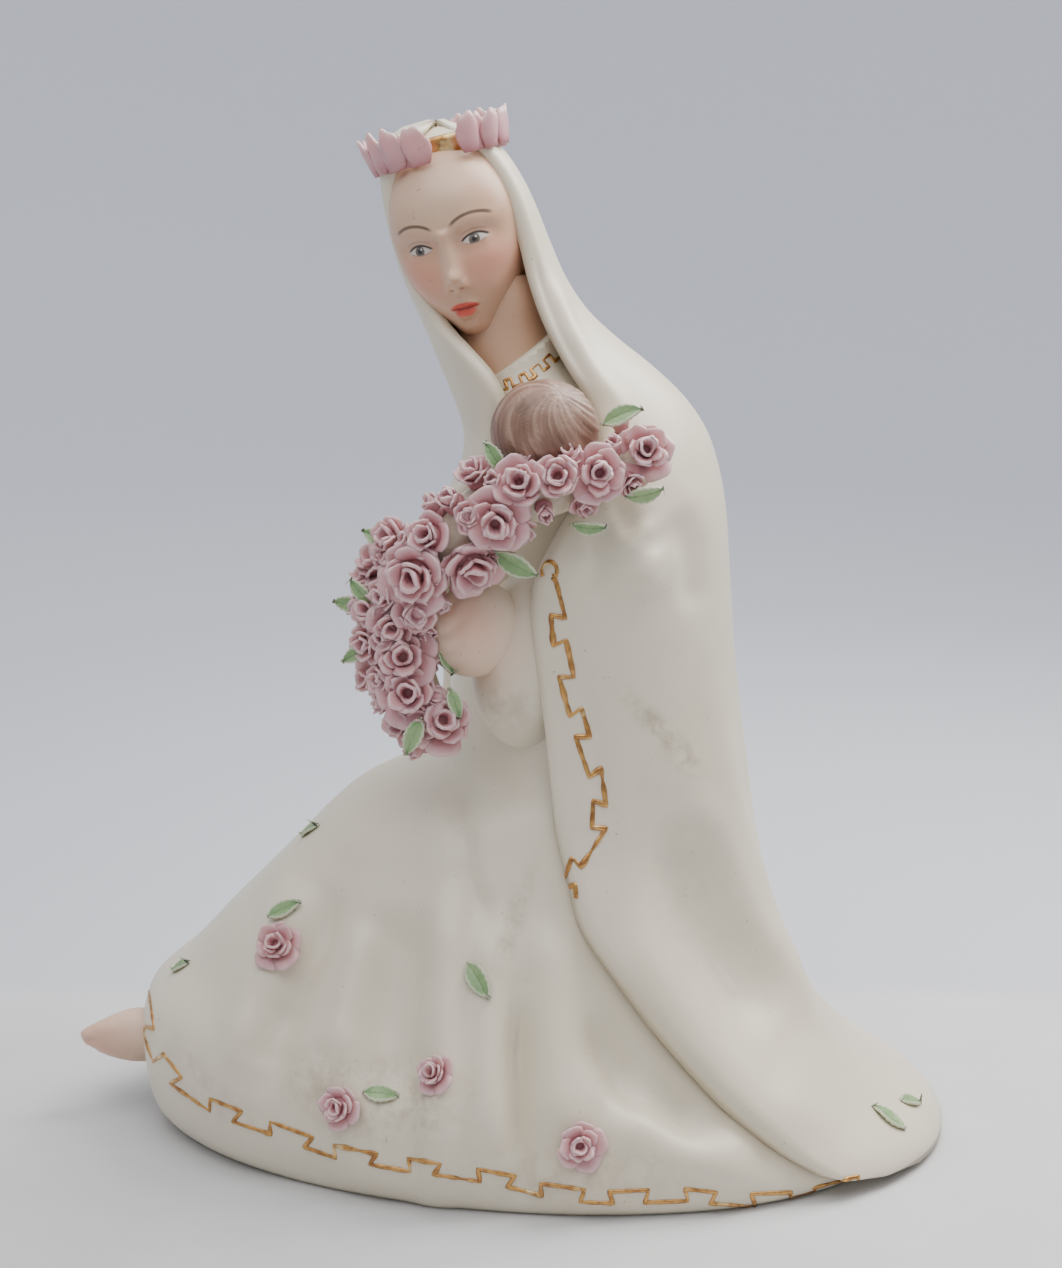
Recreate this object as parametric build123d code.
"""Kneeling Madonna holding a child under a garland of roses, in slip-cast porcelain.

Each casting and each hand-built flower is a solid of its own, luted to its neighbour face to face
or by a tenon in a socket. Millimetres. +Z is up, the modelled side faces -Y and the figure
leans towards -X. The origin is the middle of the bounding box, on the surface it stands on.
"""

import math
import os

from build123d import *

# Overall sizes of the robed figure
HEIGHT = 230.0
BASE_WIDTH = 180.0
BASE_DEPTH = 120.0

# Castings
GOWN_WALL = 3.2
MANTLE_WALL = 3.0
FLOOR = 3.5
FOOT_RIM_WIDTH = 7.0
FOOT_RIM_HEIGHT = 1.0
VENT_RADIUS = 3.0
LUTE_GAP = 0.1

# Head, neck and crown
HEAD_HEIGHT = 45.0
HEAD_WIDTH = 31.0
HEAD_DEPTH = 36.0
HEAD_TILT = 14.0
HEAD_TURN = 12.0
HEAD_NOD = 8.0
NECK_RADIUS = 7.5
NECK_TENON_RADIUS = 5.0
NECK_TENON_LENGTH = 9.0
CROWN_RADIUS = 11.6
CROWN_BAND_HEIGHT = 4.6
CROWN_BAND_WALL = 1.1
CROWN_PETAL_COUNT = 15
CROWN_PETAL_HEIGHT = 7.5
CROWN_PETAL_WIDTH = 4.4

# Child
CHILD_HEAD_RADIUS = 11.0
CHILD_TENON_RADIUS = 3.0
CHILD_TENON_LENGTH = 6.0
SWADDLE_RADIUS = 7.0

# Hand, sleeve and foot
HAND_LENGTH = 20.0
HAND_WIDTH = 19.0
HAND_THICKNESS = 12.4
HAND_LEAN = 32.0
# The hand from wrist to fingertips: place along it, thickness and width, in shares of its sizes.
HAND_SECTIONS = [
    (-0.55, 0.80, 0.70),
    (-0.10, 1.00, 0.95),
    (0.20, 0.90, 1.00),
    (0.42, 0.65, 0.75),
    (0.50, 0.35, 0.45),
]
SLEEVE_LENGTH = 34.0
SLEEVE_WIDTH = 26.0
SLEEVE_DEPTH = 22.0
SLEEVE_LEAN = 18.0
FOOT_LENGTH = 15.5
FOOT_HEIGHT = 11.5
FOOT_WIDTH = 11.0
FOOT_TENON_RADIUS = 3.6
FOOT_TENON_LENGTH = 9.0

# Hand-built flowers
ROSE_DIAMETER = 10.0
PETAL_THICKNESS = 0.7
LEAF_LENGTH = 8.5
LEAF_WIDTH = 4.2
LEAF_THICKNESS = 1.0
LEAF_SINK = 0.4
LEAF_LIFT = 45.0

# A rose's whorls from the outside in, as radius and height of each petal lip in shares of
# ROSE_DIAMETER, and what all roses share.
ROSE_WHORLS = {
    "bud": [(0.30, 0.62)],
    "half": [(0.46, 0.46), (0.31, 0.60)],
    "open": [(0.50, 0.36), (0.38, 0.50), (0.25, 0.58)],
}
ROSE_BACK = -0.20
ROSE_STEM = 0.26
PETAL_CURL = 0.16
PETAL_LOBES = 5
LOBE_DEPTH = 0.06
BUD_TOP = (0.11, 0.68)
PRESS_REACH = 3.0  # roses whose rims are closer than this were pressed against each other

# Gown outlines from the foot rim up: height as a share of HEIGHT, left and right as shares of
# BASE_WIDTH, front and back as shares of BASE_DEPTH.
GOWN_STATIONS = [
    (0.000, -0.445, 0.490, -0.585, 0.380),
    (0.018, -0.470, 0.512, -0.605, 0.400),
    (0.050, -0.481, 0.455, -0.608, 0.398),
    (0.125, -0.458, 0.355, -0.535, 0.350),
    (0.235, -0.322, 0.296, -0.430, 0.292),
    (0.318, -0.215, 0.276, -0.368, 0.268),
    (0.362, -0.100, 0.266, -0.318, 0.253),
    (0.480, -0.085, 0.248, -0.305, 0.240),
    (0.610, -0.066, 0.234, -0.280, 0.217),
    (0.692, -0.050, 0.162, -0.200, 0.165),
    (0.735, -0.050, 0.072, -0.150, 0.070),
]
MANTLE_TOP = 0.662

# The mantle's front edge seen from the front: (share of BASE_WIDTH, share of HEIGHT), from the
# shoulder until it runs under the train.
MANTLE_FRONT_EDGE = [
    (0.070, MANTLE_TOP),
    (0.050, 0.610),
    (0.014, 0.550),
    (0.020, 0.480),
    (0.034, 0.380),
    (0.046, 0.310),
    (0.078, 0.237),
    (0.132, 0.184),
    (0.190, 0.132),
    (0.245, 0.088),
    (0.310, 0.048),
    (0.390, 0.022),
    (0.480, 0.004),
    (0.560, -0.020),
]
# The same edge on the far side, which hangs nearly straight.
MANTLE_BACK_EDGE = [(-0.200, MANTLE_TOP), (-0.200, 0.420), (-0.235, 0.180), (-0.300, -0.010)]
MANTLE_SPLIT = -0.020  # where the two edges' cuts meet, as a share of BASE_DEPTH

# Veil outlines, in the same shares as the gown's.
VEIL_STATIONS = [
    (0.662, -0.054, 0.237, -0.268, 0.222),
    (0.738, -0.091, 0.164, -0.225, 0.188),
    (0.800, -0.122, 0.077, -0.198, 0.157),
    (0.880, -0.152, 0.026, -0.187, 0.128),
    (0.936, -0.150, -0.016, -0.155, 0.085),
    (0.966, -0.112, -0.070, -0.070, 0.000),
]
# The opening for face and throat, seen from the front.
FACE_OPENING = [
    (-0.080, 0.925),
    (-0.132, 0.905),
    (-0.140, 0.855),
    (-0.112, 0.800),
    (-0.072, 0.740),
    (-0.030, 0.665),
    (0.020, 0.600),
    (0.085, 0.640),
    (0.092, 0.700),
    (0.050, 0.765),
    (0.030, 0.825),
    (0.010, 0.885),
    (-0.026, 0.920),
]
FACE_OPENING_DEPTH = -0.030  # how far back the opening is cut, as a share of BASE_DEPTH

HEAD_CENTRE = (-0.0655, -0.050, 0.853)  # shares of BASE_WIDTH, BASE_DEPTH, HEIGHT
CROWN_CENTRE = (-0.0915, -0.038, 0.938)
NECK_FOOT = (0.008, -0.060, 0.715)
CHILD_HEAD_CENTRE = (0.033, -0.315, 0.686)
HAND_CENTRE = (-0.052, -0.300, 0.506)
SLEEVE_CENTRE = (0.022, -0.285, 0.492)
FOOT_ROOT = (-0.462, -0.105, 0.074)

# The swaddled child runs under the garland: shares of width, depth and height, then the
# swaddle's girth there as a share of SWADDLE_RADIUS.
SWADDLE_ROUTE = [
    (0.146, -0.310, 0.668, 0.70),
    (0.095, -0.335, 0.654, 0.90),
    (0.040, -0.345, 0.640, 1.00),
    (-0.018, -0.345, 0.624, 1.05),
    (-0.066, -0.335, 0.597, 1.10),
    (-0.108, -0.305, 0.560, 1.20),
    (-0.138, -0.275, 0.514, 1.15),
    (-0.130, -0.285, 0.472, 0.95),
    (-0.114, -0.300, 0.440, 0.85),
    (-0.088, -0.310, 0.408, 0.75),
]

# Garland roses: place along the swaddle (0 to 1), turn round it in degrees (0 faces the viewer,
# 90 is up or outwards), size as a share of ROSE_DIAMETER, and how open the flower is.
GARLAND_ROSES = [
    (0.015, 10, 0.90, "open"),
    (0.030, 85, 0.60, "bud"),
    (0.130, 5, 0.92, "open"),
    (0.205, 15, 0.88, "half"),
    (0.275, 25, 0.92, "half"),
    (0.345, 75, 0.75, "half"),
    (0.345, -10, 1.05, "open"),
    (0.400, 50, 0.70, "bud"),
    (0.465, 30, 0.80, "half"),
    (0.450, -40, 1.10, "open"),
    (0.530, 70, 0.90, "half"),
    (0.530, 10, 1.20, "open"),
    (0.585, 90, 0.90, "open"),
    (0.595, -10, 0.85, "half"),
    (0.620, 95, 0.75, "half"),
    (0.660, 5, 0.80, "open"),
    (0.670, -50, 0.45, "bud"),
    (0.645, 50, 0.75, "open"),
    (0.720, 55, 0.75, "half"),
    (0.750, 0, 1.00, "open"),
    (0.790, 80, 0.85, "open"),
    (0.855, 5, 1.05, "open"),
    (0.925, 50, 0.75, "half"),
    (0.970, -20, 1.05, "open"),
    (0.990, 75, 0.60, "bud"),
]
# Single roses on the skirt, seen from the front: share of width, share of height, size share.
SKIRT_ROSES = [
    (-0.280, 0.200, 1.00),
    (-0.093, 0.124, 0.80),
    (-0.203, 0.089, 0.90),
    (0.070, 0.066, 0.90),
]
# Leaves of the garland: place along, turn round it, lean along the swaddle in degrees, size.
GARLAND_LEAVES = [
    (0.060, 60, 200, 1.10),
    (0.070, -50, 200, 0.90),
    (0.200, -60, 170, 0.95),
    (0.290, 85, 60, 1.00),
    (0.400, -75, 210, 1.30),
    (0.540, 100, 40, 0.90),
    (0.620, 75, 80, 0.70),
    (0.660, 110, 70, 0.80),
    (0.720, 70, 20, 0.80),
    (0.830, -60, 150, 0.90),
    (0.995, -30, 160, 1.00),
    (0.995, 20, 200, 1.00),
]
# Single leaves seen from the front: share of width, share of height, turn in degrees, size share.
SKIRT_LEAVES = [
    (-0.275, 0.232, 30, 0.90),
    (-0.046, 0.203, -50, 1.00),
    (-0.232, 0.292, 45, 0.75),
    (-0.385, 0.161, 40, 0.75),
    (-0.155, 0.102, -10, 0.95),
]
TRAIN_LEAVES = [(0.440, 0.040, 100, 1.00), (0.470, 0.036, -40, 0.85)]


def at(share_x, share_y, share_z):
    """The point at these shares of the overall sizes."""
    return Vector(share_x * BASE_WIDTH, share_y * BASE_DEPTH, share_z * HEIGHT)


def outline(station, grow=0.0, height=None):
    """An elliptical outline through the four extents of one station, grown by a wall."""
    share_z, left, right, front, back = station
    z = share_z * HEIGHT if height is None else height
    left, right = left * BASE_WIDTH - grow, right * BASE_WIDTH + grow
    front, back = front * BASE_DEPTH - grow, back * BASE_DEPTH + grow
    middle = Plane(((left + right) / 2, (front + back) / 2, z), x_dir=(-1, 0, 0))
    return Wire.make_ellipse((right - left) / 2, (back - front) / 2, middle)


def lofted(stations, grow=0.0):
    """A solid through the outlines of these stations."""
    return Solid.make_loft([outline(s, grow) for s in stations], ruled=True)


def share_at(stations, height):
    """The extents between two stations, at a height in millimetres."""
    share = height / HEIGHT
    for low, high in zip(stations, stations[1:]):
        if low[0] <= share <= high[0]:
            mix = (share - low[0]) / (high[0] - low[0])
            return tuple(a + (b - a) * mix for a, b in zip(low, high))
    return stations[-1] if share > stations[-1][0] else stations[0]


def front_prism(edge, far_x, near_y, far_y):
    """The space right of an edge drawn from the front, between two depths."""
    points = [Vector(x * BASE_WIDTH, near_y, z * HEIGHT) for x, z in edge]
    corners = [points[-1], Vector(far_x, near_y, points[-1].Z), Vector(far_x, near_y, points[0].Z), points[0]]
    sides = [Edge.make_line(a, b) for a, b in zip(corners, corners[1:]) if (b - a).length > 1e-6]
    face = Face(Wire([Edge.make_spline(points), *sides]))
    return Solid.extrude(face, Vector(0, far_y - near_y, 0))


def ellipsoid(centre, size, turns=(0, 0, 0)):
    """An ellipsoid of this full size, turned about x, y and z, at a centre."""
    ball = scale(Sphere(0.5), by=tuple(size))
    return Location(centre, turns) * ball


def largest(shape):
    """The biggest solid of a cut, so that no crumb is left beside it."""
    return max(shape.solids(), key=lambda s: s.volume)


def boxes_meet(a, b, room=0.0):
    """Whether two solids' bounding boxes touch."""
    box_a, box_b = a.bounding_box(), b.bounding_box()
    low_a, high_a, low_b, high_b = box_a.min, box_a.max, box_b.min, box_b.max
    return all(
        getattr(low_a, k) - room <= getattr(high_b, k) and getattr(low_b, k) - room <= getattr(high_a, k)
        for k in "XYZ"
    )


def seated(piece, *beds):
    """A piece cut to sit face to face on what it is luted to."""
    for bed in beds:
        if boxes_meet(piece, bed):
            piece = largest(piece - bed)
    return piece


# ---- castings -------------------------------------------------------------------------------


def gown_body():
    """The gown's outside, from the foot rim to the neckline, before it is hollowed."""
    return lofted(GOWN_STATIONS)


def gown_cavity():
    """The hollow that the slip leaves in the gown, up to the chest."""
    floor_station = share_at(GOWN_STATIONS, FLOOR)
    outlines = [outline(floor_station, -GOWN_WALL, FLOOR)]
    for station in GOWN_STATIONS:
        height = station[0] * HEIGHT - GOWN_WALL / 2
        if FLOOR + 2 < height < MANTLE_TOP * HEIGHT:
            outlines.append(outline(station, -GOWN_WALL, height))
    return Solid.make_loft(outlines, ruled=True)


def base_recess():
    """The shallow recess inside the foot rim, and the vent hole that lets steam out in the kiln."""
    rim = Face(outline(GOWN_STATIONS[0], -FOOT_RIM_WIDTH))
    recess = Solid.extrude(rim, Vector(0, 0, FOOT_RIM_HEIGHT))
    vent = Pos(*at(0.02, -0.1, 0)) * Cylinder(VENT_RADIUS, 4 * FLOOR)
    return recess + vent


def mantle_shell(gown):
    """The cloak over back, shoulder and arm, luted on the gown, down to the train."""
    outside = lofted(GOWN_STATIONS, MANTLE_WALL)
    split = MANTLE_SPLIT * BASE_DEPTH
    near_side = outside & front_prism(MANTLE_FRONT_EDGE, BASE_WIDTH, -BASE_DEPTH, split)
    far_side = outside & front_prism(MANTLE_BACK_EDGE, BASE_WIDTH, split, BASE_DEPTH)
    return largest(near_side + far_side - gown)


def head_place():
    """The frame of the bowed head: its own -Y looks out of the face and +Z out of the crown."""
    place = Pos(*at(*HEAD_CENTRE)) * Rot(0, -HEAD_TILT, 0)
    return place * Rot(0, 0, -HEAD_TURN) * Rot(HEAD_NOD, 0, 0)


def neck_rod(radius, below, above):
    """A round bar on the neck's axis, from below the neck's foot to above it."""
    foot = at(*NECK_FOOT)
    way = (at(*HEAD_CENTRE) - foot).normalized()
    start = foot - way * below
    return Solid.make_cylinder(radius, below + above, Plane(start, z_dir=way))


def head_solid():
    """Head with a plain modelled face, neck, and the tenon that seats in the gown."""
    place = head_place()
    front = -HEAD_DEPTH / 2
    skull = ellipsoid((0, 0, 0), (HEAD_WIDTH, HEAD_DEPTH, HEAD_HEIGHT))
    nose = ellipsoid((0, front + 0.6, -0.10 * HEAD_HEIGHT), (4.2, 5.0, 0.20 * HEAD_HEIGHT))
    lips = ellipsoid((0, front + 2.4, -0.29 * HEAD_HEIGHT), (7.5, 4.0, 3.4))
    chin = ellipsoid((0, front + 5.2, -0.40 * HEAD_HEIGHT), (9.0, 7.0, 7.0))
    neck = neck_rod(NECK_RADIUS, 0, (at(*HEAD_CENTRE) - at(*NECK_FOOT)).length)
    tenon = neck_rod(NECK_TENON_RADIUS, NECK_TENON_LENGTH, 1.0)
    return largest(place * (skull + nose + lips + chin) + neck + tenon)


def veil_shell(head, gown):
    """The veil from the crown of the head to the shoulders, open round face and throat."""
    veil = lofted(VEIL_STATIONS)
    rim = [Vector(x * BASE_WIDTH, -BASE_DEPTH, z * HEIGHT) for x, z in FACE_OPENING]
    sides = [Edge.make_line(a, b) for a, b in zip(rim, rim[1:] + rim[:1])]
    opening = Solid.extrude(Face(Wire(sides)), Vector(0, (1 + FACE_OPENING_DEPTH) * BASE_DEPTH, 0))
    return largest(veil - gown - opening - head)


def crown_frame():
    """The frame that the crown stands in, square to the tilted head."""
    return Pos(*at(*CROWN_CENTRE)) * Rot(0, -HEAD_TILT, 0)


def crown_band(veil, head):
    """The gilded ring under the crown's petals, seated on the veil."""
    outside = Cylinder(CROWN_RADIUS, CROWN_BAND_HEIGHT + 4)
    inside = Cylinder(CROWN_RADIUS - CROWN_BAND_WALL, CROWN_BAND_HEIGHT + 5)
    ring = crown_frame() * Pos(0, 0, (CROWN_BAND_HEIGHT - 4) / 2) * (outside - inside)
    return seated(ring.solid(), veil, head)


def crown_petal():
    """One rose petal of the crown, standing on +Z with its back to the band."""
    blade = ellipsoid(
        (CROWN_RADIUS + 0.9, 0, CROWN_PETAL_HEIGHT / 2 - 0.8),
        (2.6, CROWN_PETAL_WIDTH, CROWN_PETAL_HEIGHT),
        (0, 12, 0),
    )
    band = Cylinder(CROWN_RADIUS, 4 * CROWN_PETAL_HEIGHT)
    return largest(blade - band)


def crown_petals(veil, head):
    """The ring of petals luted round the band, with one missing at the front."""
    step = 360 / (CROWN_PETAL_COUNT + 1)
    petals = []
    for i in range(CROWN_PETAL_COUNT):
        petal = crown_frame() * Rot(0, 0, -62 + step * i) * crown_petal()
        petals.append(seated(petal.solid(), veil, head))
    return petals


def foot_solid(gown):
    """The bare foot that shows below the hem, with the tenon that holds it in the skirt."""
    root = at(*FOOT_ROOT)
    sections = [
        (6.0, 1.00, 1.00, 0.0),
        (-0.30 * FOOT_LENGTH, 0.92, 0.98, -0.2),
        (-0.65 * FOOT_LENGTH, 0.66, 0.92, -1.0),
        (-0.90 * FOOT_LENGTH, 0.44, 0.74, -1.7),
        (-1.00 * FOOT_LENGTH, 0.22, 0.42, -2.1),
    ]
    rings = []
    for x, tall, wide, drop in sections:
        plane = Plane(root + Vector(x, 0, drop), x_dir=(0, 1, 0), z_dir=(-1, 0, 0))
        rings.append(Wire.make_ellipse(wide * FOOT_WIDTH / 2, tall * FOOT_HEIGHT / 2, plane))
    shape = seated(Solid.make_loft(rings), gown)
    return largest(shape + foot_tenon(0.0))


def foot_tenon(gap):
    """The foot's round tenon, or with a gap the socket for it."""
    start = at(*FOOT_ROOT) + Vector(-3.0, 0, 0)
    bar = FOOT_TENON_LENGTH + 3.0 + (GOWN_WALL if gap else 0.0)
    return Solid.make_cylinder(FOOT_TENON_RADIUS + gap, bar, Plane(start, z_dir=(1, 0, 0)))


def sleeve_solid(gown, mantle):
    """The gown's sleeve where the forearm comes out from under the mantle."""
    lying = ellipsoid((0, 0, 0), (SLEEVE_WIDTH, SLEEVE_LENGTH, SLEEVE_DEPTH), (90, 0, 0))
    body = Pos(*at(*SLEEVE_CENTRE)) * Rot(0, SLEEVE_LEAN, 0) * lying
    return seated(body.solid(), gown, mantle)


def hand_solid(gown, mantle, sleeve):
    """The hand that supports the child from below, from the wrist to the fingertips."""
    lean = math.radians(HAND_LEAN)
    way = Vector(-math.cos(lean), 0, math.sin(lean))
    rings = []
    for along, thick, wide in HAND_SECTIONS:
        plane = Plane(at(*HAND_CENTRE) + way * (along * HAND_LENGTH), x_dir=(0, 1, 0), z_dir=way)
        rings.append(Wire.make_ellipse(thick * HAND_THICKNESS / 2, wide * HAND_WIDTH / 2, plane))
    return seated(Solid.make_loft(rings, ruled=True), sleeve, gown, mantle)


def swaddle_point(along):
    """Centre, direction and radius of the swaddle at a share of its route."""
    last = len(SWADDLE_ROUTE) - 1
    place = min(max(along, 0.0), 1.0) * last
    i = min(int(place), last - 1)
    mix = place - i
    low, high = SWADDLE_ROUTE[i], SWADDLE_ROUTE[i + 1]
    centre = at(*low[:3]) * (1 - mix) + at(*high[:3]) * mix
    before, after = SWADDLE_ROUTE[max(i - 1, 0)], SWADDLE_ROUTE[min(i + 2, last)]
    way = (at(*high[:3]) - at(*before[:3])) * (1 - mix) + (at(*after[:3]) - at(*low[:3])) * mix
    radius = (low[3] * (1 - mix) + high[3] * mix) * SWADDLE_RADIUS
    return centre, way.normalized(), radius


def swaddle_solid(*beds):
    """The child's wrapped body, which carries the garland."""
    last = len(SWADDLE_ROUTE) - 1
    rings = []
    for i in range(last + 1):
        centre, way, radius = swaddle_point(i / last)
        rings.append(Wire.make_circle(radius, Plane(centre, z_dir=way)))
    return seated(Solid.make_loft(rings, ruled=True), *beds)


def child_tenon(gap):
    """The child's neck tenon, or with a gap the socket for it in the swaddle."""
    start = at(*CHILD_HEAD_CENTRE)
    end, _, _ = swaddle_point(0.222)
    way = (end - start).normalized()
    start = start + way * (0.8 * CHILD_HEAD_RADIUS)
    length = CHILD_TENON_LENGTH + 0.2 * CHILD_HEAD_RADIUS
    return Solid.make_cylinder(CHILD_TENON_RADIUS + gap, length + gap, Plane(start, z_dir=way))


def child_head(*beds):
    """The child's head, seen from behind, with the hair modelled on."""
    size = (2.05 * CHILD_HEAD_RADIUS, 1.9 * CHILD_HEAD_RADIUS, 1.95 * CHILD_HEAD_RADIUS)
    head = ellipsoid(at(*CHILD_HEAD_CENTRE), size, (0, 20, 0)).solid()
    return seated(head, *beds)


# ---- flowers and leaves -----------------------------------------------------------------------


def rose(kind):
    """A hand-built rose on +Z: a rolled bud in whorls of petals with a lobed outline."""
    lips = ROSE_WHORLS[kind]
    profile = [(0, ROSE_BACK), (ROSE_STEM, ROSE_BACK)]
    for i, (radius, height) in enumerate(lips):
        if i:
            low_radius, low_height = (lips[i - 1][0] + radius) / 2 - 0.02, lips[i - 1][1] - PETAL_CURL
            profile.append((low_radius, low_height))
        else:
            profile.append((0.72 * radius, 0.25 * height))
        profile.append((radius, height - 0.02))
        profile.append((radius - PETAL_THICKNESS / ROSE_DIAMETER, height))
    bud_radius, bud_height = BUD_TOP
    profile += [(bud_radius, lips[-1][1] - PETAL_CURL / 2), (bud_radius, bud_height - 0.06), (0, bud_height)]
    points = [Vector(r * ROSE_DIAMETER, 0, z * ROSE_DIAMETER) for r, z in profile]
    sides = [Edge.make_line(a, b) for a, b in zip(points, points[1:] + points[:1])]
    turned = Solid.revolve(Face(Wire(sides)), 360, Axis.Z)
    rim = []
    for i in range(4 * PETAL_LOBES):
        turn = 2 * math.pi * i / (4 * PETAL_LOBES)
        reach = lips[0][0] * ROSE_DIAMETER * (1.0 - LOBE_DEPTH * (1 - math.cos(PETAL_LOBES * turn)))
        rim.append(Vector(reach * math.cos(turn), reach * math.sin(turn), -ROSE_DIAMETER))
    lobes = Solid.extrude(Face(Wire(Edge.make_spline(rim, periodic=True))), Vector(0, 0, 2 * ROSE_DIAMETER))
    return largest(turned & lobes)


def on_swaddle(along, turn, sink):
    """A frame on the swaddle's surface: +Z points away from it, and +X runs along it."""
    centre, way, radius = swaddle_point(along)
    towards_viewer = Vector(0, -1, 0)
    ahead = (towards_viewer - way * way.dot(towards_viewer)).normalized()
    outwards = way.cross(ahead).normalized()
    angle = math.radians(turn)
    normal = ahead * math.cos(angle) + outwards * math.sin(angle)
    return Plane(centre + normal * (radius - sink), x_dir=way, z_dir=normal)


def surface_frame(solid, share_x, share_z, turn=0.0):
    """A frame on a solid where a ray from the viewer meets it, with +Z along its normal."""
    target = at(share_x, 0, share_z)
    ray = Axis((target.X, -2 * BASE_DEPTH, target.Z), (0, 1, 0))
    hits = solid.find_intersection_points(ray)
    point, normal = min(hits, key=lambda hit: hit[0].Y)
    if normal.Y > 0:
        normal = normal * -1
    across = Vector(0, 0, 1).cross(normal)
    frame = Plane(point, x_dir=across, z_dir=normal)
    return frame.rotated((0, 0, turn))


def pressed_apart(pieces, frames, radii):
    """Neighbouring roses flattened against each other where they were pressed together."""
    done = []
    for i, piece in enumerate(pieces):
        for j, other in enumerate(frames):
            if j == i:
                continue
            span = other.origin - frames[i].origin
            if span.length > radii[i] + radii[j] + PRESS_REACH:
                continue
            share = radii[i] / (radii[i] + radii[j])
            middle = frames[i].origin + span * share
            side = Plane(middle, z_dir=-span)
            reach = 4 * ROSE_DIAMETER
            keep = side * Pos(0, 0, reach / 2) * Box(reach, reach, reach)
            piece = largest(piece & keep)
        done.append(piece)
    return done


def leaf(size):
    """A pressed leaf along +X on +Z, with a groove for its midrib and rounded under edges."""
    length, width = LEAF_LENGTH * size, LEAF_WIDTH * size
    tips = [Vector(0, 0, 0), Vector(length, 0, 0)]
    sides = [
        Edge.make_three_point_arc(tips[0], Vector(length / 2, side * width / 2, 0), tips[1])
        for side in (1, -1)
    ]
    blade = Solid.extrude(Face(Wire(sides)), Vector(0, 0, LEAF_THICKNESS))
    dome = Pos(length / 2, 0, LEAF_THICKNESS - 1.6 * length) * Sphere(1.6 * length)
    groove = Pos(length / 2, 0, LEAF_THICKNESS) * Rot(45, 0, 0) * Box(length, 0.6, 0.6)
    return largest((blade & dome) - groove)


# ---- assembly -----------------------------------------------------------------------------------


def build():
    """Every piece of the figure by name, in the design frame."""
    gown = gown_body()
    mantle = mantle_shell(gown)
    head = head_solid()
    veil = veil_shell(head, gown)
    neck_socket = neck_rod(NECK_RADIUS, 0, HEAD_HEIGHT)
    neck_socket += neck_rod(NECK_TENON_RADIUS + LUTE_GAP, NECK_TENON_LENGTH + LUTE_GAP, 1.0)
    sleeve = sleeve_solid(gown, mantle)
    swaddle = swaddle_solid(gown, mantle, veil, sleeve)
    hand = hand_solid(gown, mantle, sleeve)
    hand = seated(hand, swaddle)
    child = child_head(gown, mantle, veil, head, swaddle)

    pieces = {
        "gown_casting": largest(gown - gown_cavity() - base_recess() - neck_socket - foot_tenon(LUTE_GAP)),
        "mantle_casting": mantle,
        "veil_casting": veil,
        "head_casting": head,
        "crown_band": crown_band(veil, head),
        "crown_petals": Compound(crown_petals(veil, head)),
        "sleeve": sleeve,
        "supporting_hand": hand,
        "foot": foot_solid(gown),
        "child_swaddle": largest(swaddle - child_tenon(LUTE_GAP)),
        "child_head": largest(child + child_tenon(0.0)),
    }

    beds = (swaddle, gown, mantle, veil, pieces["child_head"], hand, sleeve)
    flowers = {kind: rose(kind) for kind in ("bud", "half", "open")}
    frames = [on_swaddle(along, turn, 0.10 * ROSE_DIAMETER) for along, turn, _, _ in GARLAND_ROSES]
    radii = [size * ROSE_DIAMETER * 0.48 for _, _, size, _ in GARLAND_ROSES]
    roses = []
    for (_, turn, size, kind), frame in zip(GARLAND_ROSES, frames):
        flower = scale(Rot(0, 0, 3 * turn) * flowers[kind], by=size)
        roses.append(seated((frame * flower).solid(), *beds))
    for i, flower in enumerate(pressed_apart(roses, frames, radii), 1):
        pieces[f"garland_rose_{i:02d}"] = flower

    for i, (share_x, share_z, size) in enumerate(SKIRT_ROSES, 1):
        frame = surface_frame(gown, share_x, share_z)
        flower = scale(flowers["open"], by=size)
        pieces[f"skirt_rose_{i}"] = seated((frame * Pos(0, 0, -0.4) * flower).solid(), gown)

    garland = [pieces[name] for name in pieces if name.startswith("garland_rose")]
    for i, (along, turn, lean, size) in enumerate(GARLAND_LEAVES, 1):
        frame = on_swaddle(along, turn, LEAF_SINK)
        blade = frame * Rot(0, 0, lean) * Rot(0, -LEAF_LIFT, 0) * leaf(size)
        pieces[f"garland_leaf_{i:02d}"] = seated(blade.solid(), *beds, *garland)

    for i, (share_x, share_z, turn, size) in enumerate(SKIRT_LEAVES, 1):
        frame = surface_frame(gown, share_x, share_z, turn)
        blade = frame * Pos(-LEAF_LENGTH * size / 2, 0, -0.3) * leaf(size)
        pieces[f"skirt_leaf_{i}"] = seated(blade.solid(), gown)
    for i, (share_x, share_z, turn, size) in enumerate(TRAIN_LEAVES, 1):
        frame = surface_frame(mantle, share_x, share_z, turn)
        blade = frame * Pos(-LEAF_LENGTH * size / 2, 0, -0.3) * leaf(size)
        pieces[f"train_leaf_{i}"] = seated(blade.solid(), mantle, gown)
    return pieces


def main():
    """Moves the figure so that the frame is at the middle of its box, and writes the parts."""
    pieces = build()
    box = Compound(list(pieces.values())).bounding_box()
    middle = Pos(-(box.min.X + box.max.X) / 2, -(box.min.Y + box.max.Y) / 2, 0)
    os.makedirs("parts", exist_ok=True)
    for name, piece in pieces.items():
        moved = middle * piece
        moved.label = name
        export_step(moved, f"parts/{name}.step")
    print("frame moved by", middle.position, "box", box.size)


if __name__ == "__main__":
    main()
